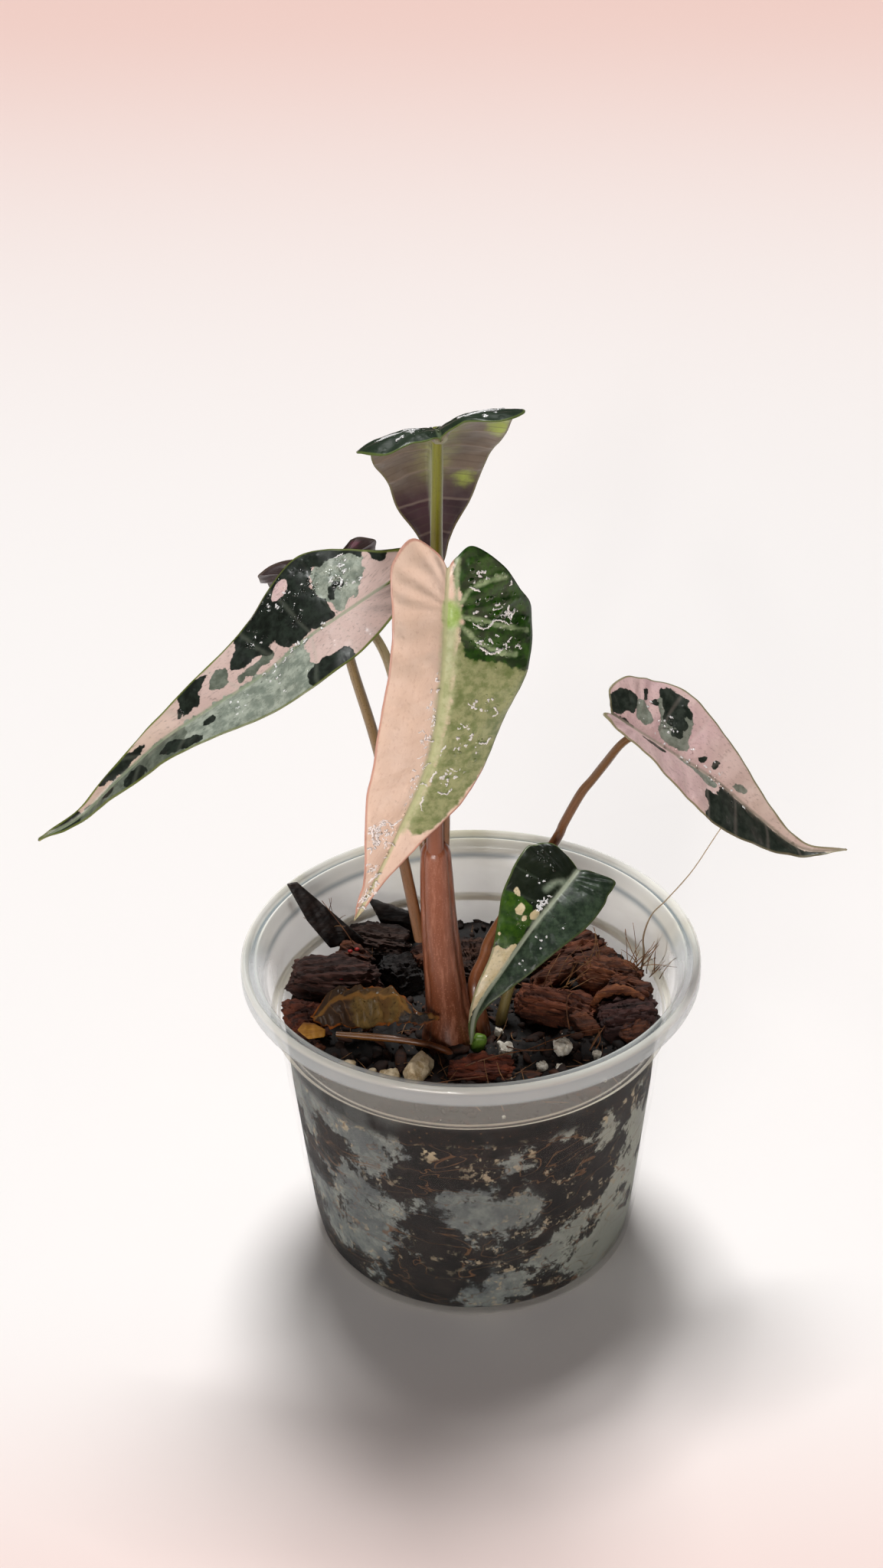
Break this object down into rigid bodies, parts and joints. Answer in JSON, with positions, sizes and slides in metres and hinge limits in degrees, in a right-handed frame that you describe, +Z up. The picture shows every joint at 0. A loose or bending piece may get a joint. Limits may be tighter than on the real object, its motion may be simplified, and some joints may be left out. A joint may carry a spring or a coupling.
{
  "type": "potted bambino alocasia",
  "caption": "Small potted arrow-leaved aroid in a clear round plastic tub, with pink, silver and dark green variegated blades on thin stalks, rising from bark-covered soil.",
  "frame": {"origin": "centre of the tub's underside, where it rests", "axes": "+Z up, -Y towards the viewer, +X to the viewer's right"},
  "size_m": [0.1962, 0.117, 0.2333],
  "materials": {
    "pot_plastic": "frosted see-through polypropylene",
    "soil": "damp dark potting mix",
    "stem": "smooth plant stem",
    "stalk": "smooth leaf stalk",
    "leaf_pink": "glossy wet leaf",
    "leaf_mixed": "glossy variegated leaf",
    "leaf_under": "satin leaf underside",
    "bark": "rough bark",
    "coir": "fibrous coconut husk",
    "pebble": "smooth pebble",
    "perlite": "porous perlite",
    "bud": "soft green shoot",
    "dried": "withered leaf",
    "shard": "dark strap",
    "fibre": "coir fibre"
  },
  "bodies": {
    "root": {"pot": "pot_plastic", "soil": "soil", "stem_base": "stem", "petiole_front": "stalk", "petiole_top": "stalk", "petiole_back": "stalk", "petiole_left": "stalk", "petiole_right": "stalk", "petiole_low": "stalk", "blade_front": "leaf_pink", "blade_left": "leaf_mixed", "blade_right": "leaf_mixed", "blade_low": "leaf_mixed", "blade_top": "leaf_under", "blade_back": "leaf_under", "bark_left": "bark", "bark_low": "bark", "bark_dark": "bark", "bark_rear": "bark", "bark_middle": "bark", "coir_a": "coir", "coir_b": "coir", "coir_c": "coir", "coir_d": "coir", "crumbs": "coir", "shell": "pebble", "pebble_a": "pebble", "pebble_b": "pebble", "pebble_c": "pebble", "perlite_a": "perlite", "perlite_b": "perlite", "perlite_c": "perlite", "perlite_d": "perlite", "perlite_e": "perlite", "perlite_f": "perlite", "bud": "bud", "dried_stalk": "dried", "fibre": "fibre", "shard_left": "shard", "shard_back": "shard", "dried_leaf": "dried", "dried_scrap": "dried"}
  },
  "joints": []
}
